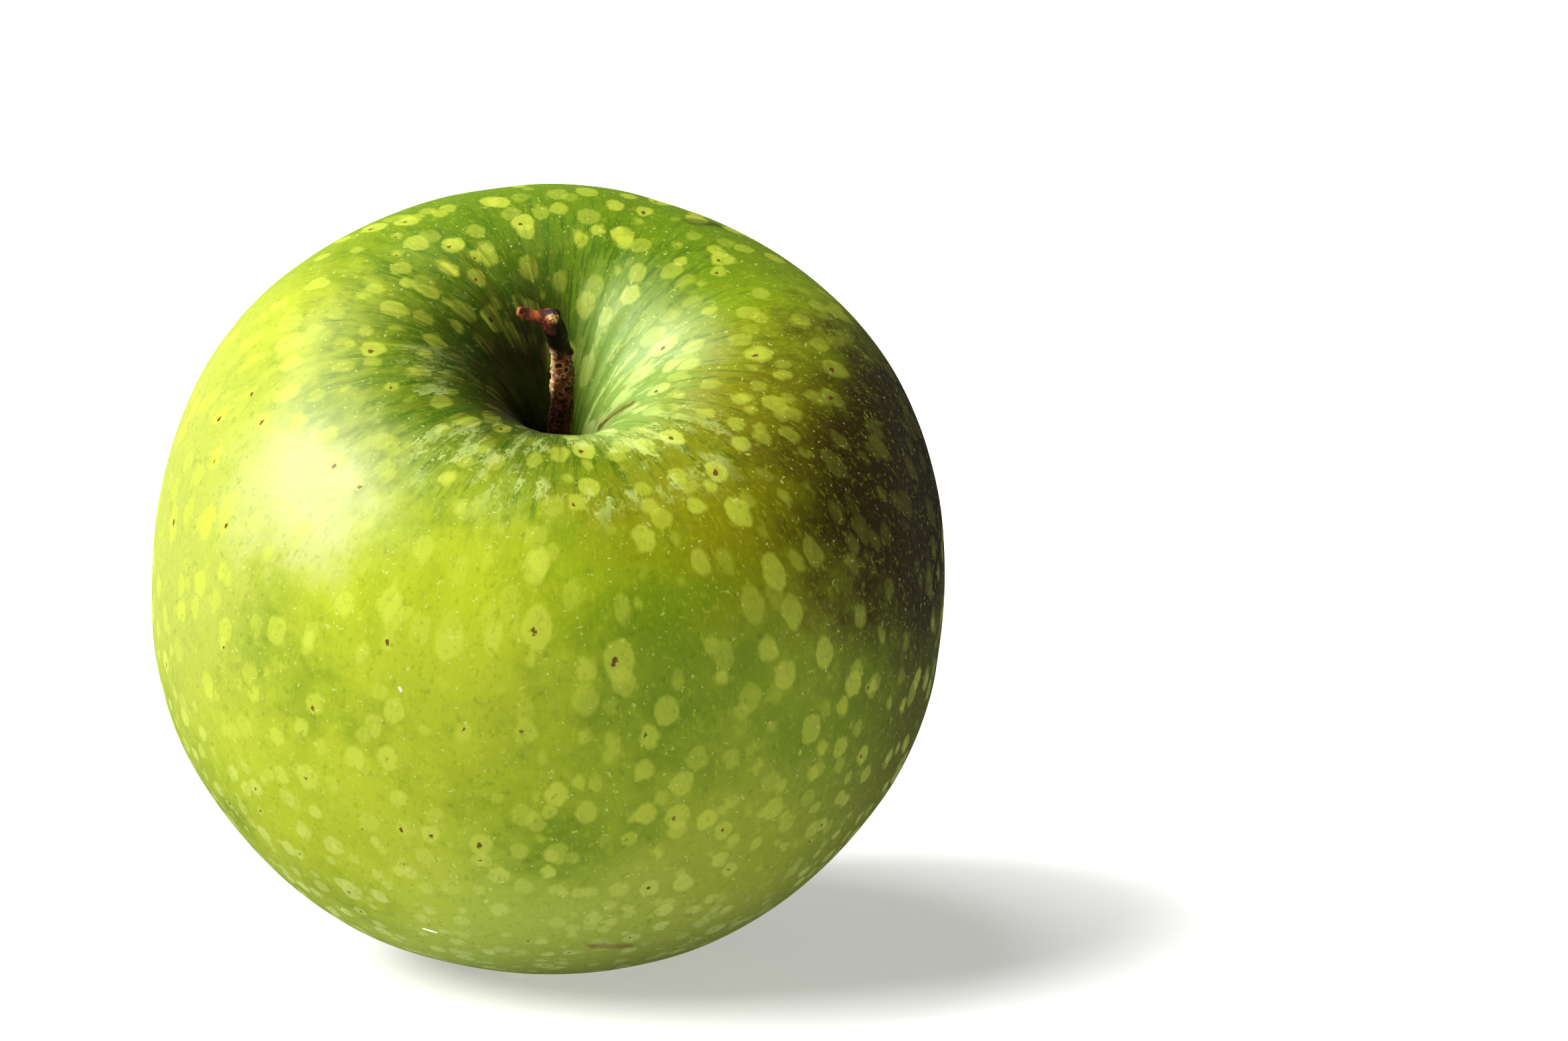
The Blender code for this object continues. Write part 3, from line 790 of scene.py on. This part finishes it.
sepal_face = math.sqrt(CALYX_RADIUS**2 - (SEPAL_WIDTH / 2) ** 2)
calyx_turn = Matrix.Translation((0, 0, BASIN_FLOOR_HEIGHT)) @ Matrix.Rotation(math.pi, 4, "X")
calyx_place = lay_down @ calyx_turn
for index in range(SEPALS):
    sheet = bmesh.new()
    bmesh.ops.create_grid(sheet, x_segments=14, y_segments=34, size=1)
    leaf_layer = sheet.verts.layers.float_vector.new("leaf_place")
    for vert in sheet.verts:
        side, along = vert.co.x, (vert.co.y + 1) / 2
        vert[leaf_layer] = (side, along, index * 5.3)
        ragged = noise.noise(Vector((side * 1.2, along * 9, index * 7.7)))
        half_width = (SEPAL_WIDTH + (SEPAL_TIP_WIDTH - SEPAL_WIDTH) * along**1.5) / 2
        half_width *= 1 + SEPAL_RAGGED * ragged * along
        bow = SEPAL_CURL * along**3 - SEPAL_INWARD * math.sin(math.pi * along)
        crinkle = noise.noise(Vector((side * 2.2, along * 5.0, index * 3.1))) * along
        rib = math.exp(-((side / SEPAL_RIB_SHARE) ** 2)) * (1 - along)
        bow += SEPAL_CRINKLE * crinkle - SEPAL_CUPPING * side**2 * along + SEPAL_RIB * rib
        sideways = noise.noise(Vector((along * 3.0, index * 4.9, 1.7))) * along
        vert.co.x = sepal_face - SEPAL_SUNK + bow
        vert.co.y = side * half_width + SEPAL_CRINKLE * 0.8 * sideways
        vert.co.z = CALYX_GAP + SEPAL_LENGTH * along
    bmesh.ops.recalc_face_normals(sheet, faces=sheet.faces)
    bmesh.ops.solidify(sheet, geom=sheet.faces, thickness=SEPAL_SHEET)
    bmesh.ops.recalc_face_normals(sheet, faces=sheet.faces)
    turn = Matrix.Rotation(math.tau * index / SEPALS, 4, "Z")
    bmesh.ops.transform(sheet, matrix=calyx_place @ turn, verts=sheet.verts)
    sepal_mesh = bpy.data.meshes.new(f"dried_sepal_{index + 1}")
    sheet.to_mesh(sepal_mesh)
    sheet.free()
    sepal_mesh.shade_smooth()
    sepal_mesh.materials.append(sepal_finish.material)
    sepal = bpy.data.objects.new(f"dried_sepal_{index + 1}", sepal_mesh)
    bpy.context.scene.collection.objects.link(sepal)
    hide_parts(f"sepal_{index + 1}")
    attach(sepal, "root")

# Stamens. A tuft of dried stamens and the stumps of the styles, dark and brittle, stand on a
# low cushion in the middle of the calyx. Cushion and threads are melted into one skin.
TUFT_RADIUS = 0.00227
CUSHION_DEPTH = 0.0010
STAMENS = 9
STAMEN_FOOT_RING = 0.00135
STAMEN_TOP_RING = 0.00172
STAMEN_TOP = 0.0046
STYLES = 5
STYLE_FOOT_RING = 0.00045
STYLE_TOP_RING = 0.00060
STYLE_TOP = 0.0036
THREAD_RADIUS = 0.00020
THREAD_STEP = 0.0003
THREAD_SWAY = 0.00016
THREAD_CRINKLE = 0.00006
TUFT_VOXEL = 0.00008
THREAD_BROWN = (0.070, 0.032, 0.014)
THREAD_BLACK = (0.014, 0.007, 0.005)
POLLEN_TAN = (0.300, 0.200, 0.090)

tuft = bmesh.new()
bmesh.ops.create_cone(
    tuft,
    cap_ends=True,
    segments=36,
    radius1=TUFT_RADIUS,
    radius2=TUFT_RADIUS * 0.82,
    depth=CUSHION_DEPTH,
    matrix=Matrix.Translation((0, 0, CALYX_GAP + CUSHION_DEPTH / 2)),
)
stamen_sizes = (STAMEN_FOOT_RING, STAMEN_TOP_RING, STAMEN_TOP, STAMENS)
style_sizes = (STYLE_FOOT_RING, STYLE_TOP_RING, STYLE_TOP, STYLES)
for index in range(STAMENS + STYLES):
    start, end, tallest, count = stamen_sizes if index < STAMENS else style_sizes
    top = tallest - THREAD_STEP * (index % 3)
    sway = THREAD_SWAY * math.sin(index * 2.4)
    thread_route = [
        (start, 0.0008, THREAD_RADIUS * 1.7),
        (start + (end - start) * 0.3 + sway, 0.0018, THREAD_RADIUS * 1.15),
        (start + (end - start) * 0.7 - sway, top * 0.68, THREAD_RADIUS * 0.95),
        (end - 0.0001, top * 0.88, THREAD_RADIUS),
        (end, top - 0.0002, THREAD_RADIUS * 1.5),
        (end, top, THREAD_RADIUS * 0.7),
    ]
    turn = Matrix.Rotation(math.tau * (index + 0.5) / count, 4, "Z")
    thread = grow_twig(tuft, thread_route, 22)
    bmesh.ops.transform(tuft, matrix=turn, verts=thread)
stamens, tuft = melt(tuft, "dried_stamens", TUFT_VOXEL, 2)
tuft_layer = tuft.verts.layers.float_vector.new("as_grown")
for vert in tuft.verts:
    vert[tuft_layer] = vert.co
    crinkle = noise.noise(vert.co * 1500) + 0.5 * noise.noise(vert.co * 3500)
    vert.co += vert.normal * (THREAD_CRINKLE * crinkle)
bmesh.ops.transform(tuft, matrix=calyx_place, verts=tuft.verts)
tuft.to_mesh(stamens.data)
tuft.free()
stamens.data.shade_smooth()

tuft_finish = Finish("dried_thread")
tuft_place = tuft_finish.attribute("as_grown")
tuft_up = tuft_finish.part(tuft_place, 2)
tuft_mottle = tuft_finish.cloud(tuft_place, 900, 4.0, 0.65)
tuft_grain = tuft_finish.cloud(tuft_place, 4200, 3.0, 0.6)
thread_share = tuft_finish.fade(tuft_mottle, 0.38, 0.66)
thread_colour = tuft_finish.blend(thread_share, THREAD_BLACK, THREAD_BROWN)
pollen = tuft_finish.fade(tuft_up + tuft_mottle * 0.0008, 0.0038, 0.0045)
thread_colour = tuft_finish.blend(pollen * 0.7, thread_colour, POLLEN_TAN)
dust = tuft_finish.fade(tuft_grain, 0.55, 0.75)
thread_colour = tuft_finish.blend(dust * 0.3, thread_colour, POLLEN_TAN)
tuft_finish.give(
    Base_Color=thread_colour,
    Roughness=tuft_grain * 0.2 + 0.72,
    Normal=tuft_finish.bump(0.6, 0.00005, tuft_grain),
)
stamens.data.materials.append(tuft_finish.material)
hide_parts("stamens")
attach(stamens, "root")

# Floor and lights. A plain pale sheet under and behind the apple, lit by one broad soft light
# on its left and by a weaker one above that.
FLOOR_REACH = 8
FLOOR_DARKER = (0.56, 0.56, 0.56)
FLOOR_LIGHTER = (0.60, 0.60, 0.60)
FLOOR_GLOW = (1.0, 0.99, 0.97)
FLOOR_GLOW_STRENGTH = 0.42
ROOM_LIGHT = (1.0, 1.0, 1.0, 1.0)
ROOM_STRENGTH = 0.14
CAMERA_DISTANCE = 0.392
CAMERA_RISE = math.radians(10)
CAMERA_TURN = math.radians(3.544)
CAMERA_DIP = math.radians(8.896)
CAMERA_LENS = 88.29

bed = bmesh.new()
bmesh.ops.create_grid(bed, x_segments=8, y_segments=8, size=FLOOR_REACH)
floor_mesh = bpy.data.meshes.new("floor")
bed.to_mesh(floor_mesh)
bed.free()
floor = bpy.data.objects.new("floor", floor_mesh)
bpy.context.scene.collection.objects.link(floor)
floor_finish = Finish("pale_floor")
floor_place = floor_finish.node("TexCoord", {}, {}, "Object")
floor_tone = floor_finish.cloud(floor_place, 3, 2.0, 0.5)
floor_finish.give(
    Base_Color=floor_finish.blend(floor_tone, FLOOR_DARKER, FLOOR_LIGHTER),
    Roughness=0.7,
    Emission_Color=FLOOR_GLOW,
    Emission_Strength=FLOOR_GLOW_STRENGTH,
)
floor_mesh.materials.append(floor_finish.material)
floor.visible_glossy = False


def soft_sun(name, azimuth, rise, spread, strength, colour):
    """An even soft light from far off. Azimuth 0 is behind the camera and 90 is on the left."""
    turn = math.radians(azimuth)
    lift = math.radians(rise)
    level = Vector((-math.sin(turn), -math.cos(turn), 0)) * math.cos(lift)
    away = level + Vector((0, 0, math.sin(lift)))
    lamp = bpy.data.lights.new(name, "SUN")
    lamp.angle = math.radians(spread)
    lamp.energy = strength
    lamp.color = colour
    light = bpy.data.objects.new(name, lamp)
    light.location = middle + away
    light.rotation_euler = away.to_track_quat("Z", "Y").to_euler()
    bpy.context.scene.collection.objects.link(light)


soft_sun("window_light", azimuth=73, rise=43, spread=44, strength=8.0, colour=(1.0, 1.0, 0.99))
soft_sun("high_light", azimuth=98, rise=66, spread=36, strength=2.6, colour=(1.0, 1.0, 1.0))
world = bpy.data.worlds.new("studio")
world.use_nodes = True
room = world.node_tree.nodes["Background"]
room.inputs["Color"].default_value = ROOM_LIGHT
room.inputs["Strength"].default_value = ROOM_STRENGTH
bpy.context.scene.world = world
bpy.context.scene.view_settings.view_transform = "Standard"

lens = bpy.data.cameras.new("camera")
lens.lens = CAMERA_LENS
lens.sensor_width = 36
lens.clip_start = 0.01
camera = bpy.data.objects.new("camera", lens)
camera_away = Vector((0, -math.cos(CAMERA_RISE), math.sin(CAMERA_RISE)))
camera.location = middle + camera_away * CAMERA_DISTANCE
camera.rotation_euler = (math.pi / 2 - CAMERA_DIP, 0, -CAMERA_TURN)
bpy.context.scene.collection.objects.link(camera)
bpy.context.scene.camera = camera
